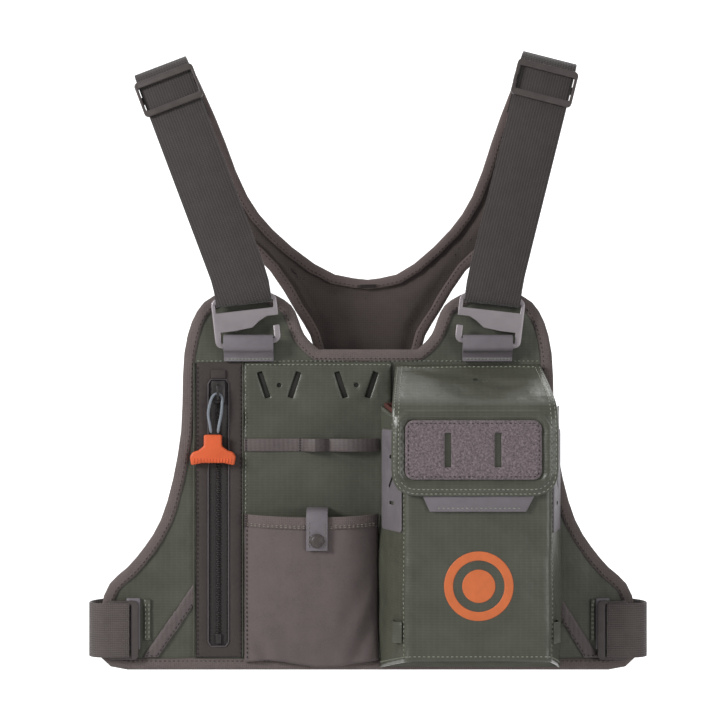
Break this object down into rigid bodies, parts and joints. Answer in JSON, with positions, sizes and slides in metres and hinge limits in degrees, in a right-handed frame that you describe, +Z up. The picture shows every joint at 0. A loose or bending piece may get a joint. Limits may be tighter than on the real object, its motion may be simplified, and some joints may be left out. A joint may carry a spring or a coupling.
{
  "type": "fishing vest",
  "caption": "Chest pack vest on a webbing harness: padded pack with box pocket, open pocket and zip panel, hung by two G-hooks from shoulder straps and a mesh yoke.",
  "frame": {"origin": "the nape: middle of the yoke's neckline, where the vest hangs on the wearer's neck", "axes": "+X towards the wearer's left, seen from the front to the right; -Y out of the vest's front; +Z up, along the vest's height"},
  "size_m": [0.3838, 0.1108, 0.4276],
  "materials": {
    "green_cloth": "ripstop nylon, olive green, coated",
    "taupe_cloth": "plain nylon, grey brown",
    "zip_cloth": "stretch woven nylon, dark brown grey",
    "binding_tape": "grosgrain binding tape, taupe, stitched",
    "mesh_pad": "spacer mesh over foam, dark brown",
    "dark_webbing": "ribbed nylon webbing, dark brown",
    "hypalon": "matte coated synthetic rubber cloth, grey",
    "hook_metal": "bead-blasted, satin grey",
    "zip_metal": "satin grey",
    "dark_plastic": "moulded, fine texture",
    "grip_rubber": "moulded orange rubber grip with ribs",
    "pull_cord": "braided cord, pale grey",
    "loop_patch": "brushed loop fabric, grey taupe",
    "collar_cloth": "stretch cloth, dark red brown"
  },
  "bodies": {
    "harness": {"yoke_pad": "mesh_pad", "yoke_binding": "binding_tape", "yoke_tail_webbing": "dark_webbing", "net_ring_tab": "taupe_cloth", "shoulder_webbing_left": "dark_webbing", "shoulder_webbing_right": "dark_webbing"},
    "hook_left": {"g_hook_left": "hook_metal"},
    "hook_right": {"g_hook_right": "hook_metal"},
    "front_pack": {"front_shell": "green_cloth", "organizer_panel": "green_cloth", "box_pocket": "green_cloth", "pocket_side_loop_left": "green_cloth", "pocket_side_loop_right": "green_cloth", "side_anchor_strip_left": "green_cloth", "side_anchor_strip_right": "green_cloth", "inner_divider": "taupe_cloth", "daisy_ribbon": "taupe_cloth", "open_pocket": "taupe_cloth", "diagonal_ribbon_left": "taupe_cloth", "diagonal_ribbon_right": "taupe_cloth", "zip_panel": "zip_cloth", "edge_binding": "binding_tape", "open_pocket_binding": "binding_tape", "back_pad": "mesh_pad", "zip_garage": "hypalon", "pocket_side_panel_left": "hypalon", "pocket_side_panel_right": "hypalon", "side_tab_left": "hypalon", "side_tab_right": "hypalon", "hook_loop_left": "hypalon", "hook_loop_right": "hypalon", "zip_bottom_stop": "zip_metal", "zipper_tape": "dark_plastic", "snap_stud": "dark_plastic", "closure_loop_tape": "dark_plastic", "pocket_collar": "collar_cloth"},
    "waist_left": {"waist_buckle_left": "dark_plastic", "waist_webbing_left": "dark_webbing"},
    "waist_right": {"waist_buckle_right": "dark_plastic", "waist_webbing_right": "dark_webbing"},
    "lid": {"pocket_lid": "green_cloth", "fly_patch": "loop_patch", "lid_pull_tab": "hypalon", "closure_hook_tape": "dark_plastic"},
    "zip_slider": {"zip_slider": "zip_metal"},
    "zip_pull": {"pull_cord_loop": "pull_cord", "pull_grip": "grip_rubber"},
    "snap": {"snap_tab": "hypalon", "snap_cap": "dark_plastic"},
    "strap_slider_left": {"strap_slider_left": "dark_plastic"},
    "strap_slider_right": {"strap_slider_right": "dark_plastic"},
    "net_ring": {"net_ring": "hook_metal"}
  },
  "joints": [
    {"name": "hook_left_swing", "type": "hinge", "parent": "harness", "child": "hook_left", "pos_m": [-0.085, -0.051, -0.0151], "axis": [-1, 0, 0], "range_deg": [-1, 2.5]},
    {"name": "hook_right_swing", "type": "hinge", "parent": "harness", "child": "hook_right", "pos_m": [0.085, -0.051, -0.0151], "axis": [-1, 0, 0], "range_deg": [-1, 2.5]},
    {"name": "pack_swing", "type": "hinge", "parent": "hook_left", "child": "front_pack", "pos_m": [-0.0816, -0.051, -0.0449], "axis": [-1, 0, 0], "range_deg": [-3, 8]},
    {"name": "waist_left_swing", "type": "hinge", "parent": "front_pack", "child": "waist_left", "pos_m": [-0.1575, -0.046, -0.2415], "axis": [0, 0, 1], "range_deg": [-6, 15.5]},
    {"name": "waist_right_swing", "type": "hinge", "parent": "front_pack", "child": "waist_right", "pos_m": [0.1575, -0.046, -0.2415], "axis": [0, 0, -1], "range_deg": [-6, 15.5]},
    {"name": "lid_open", "type": "hinge", "parent": "front_pack", "child": "lid", "pos_m": [0.072, -0.0462, -0.0604], "axis": [-1, 0, 0], "range_deg": [0, 66]},
    {"name": "zip_slide", "type": "slide", "parent": "front_pack", "child": "zip_slider", "axis": [0, 0, -1], "range_m": [0, 0.155]},
    {"name": "zip_pull_swing", "type": "hinge", "parent": "zip_slider", "child": "zip_pull", "pos_m": [-0.103, -0.0491, -0.0797], "axis": [-1, 0, 0], "range_deg": [0, 110]},
    {"name": "snap_lift", "type": "hinge", "parent": "front_pack", "child": "snap", "pos_m": [-0.0346, -0.0461, -0.158], "axis": [-1, 0, 0], "range_deg": [0, 80]},
    {"name": "strap_slide_left", "type": "slide", "parent": "harness", "child": "strap_slider_left", "axis": [0.3554, -0.0863, -0.9307], "range_m": [0, 0.06]},
    {"name": "strap_slide_right", "type": "slide", "parent": "harness", "child": "strap_slider_right", "axis": [-0.2461, -0.0863, -0.9654], "range_m": [0, 0.06]},
    {"name": "net_ring_swing", "type": "hinge", "parent": "harness", "child": "net_ring", "pos_m": [0, 0.0078, -0.029], "axis": [1, 0, 0], "range_deg": [0, 90]}
  ],
  "couplings": [
    {"joint": "hook_left_swing", "follows": "pack_swing", "ratio": 0.3},
    {"joint": "hook_right_swing", "follows": "pack_swing", "ratio": 0.3},
    {"joint": "waist_left_swing", "follows": "pack_swing", "ratio": 1.9},
    {"joint": "waist_right_swing", "follows": "pack_swing", "ratio": 1.9}
  ]
}
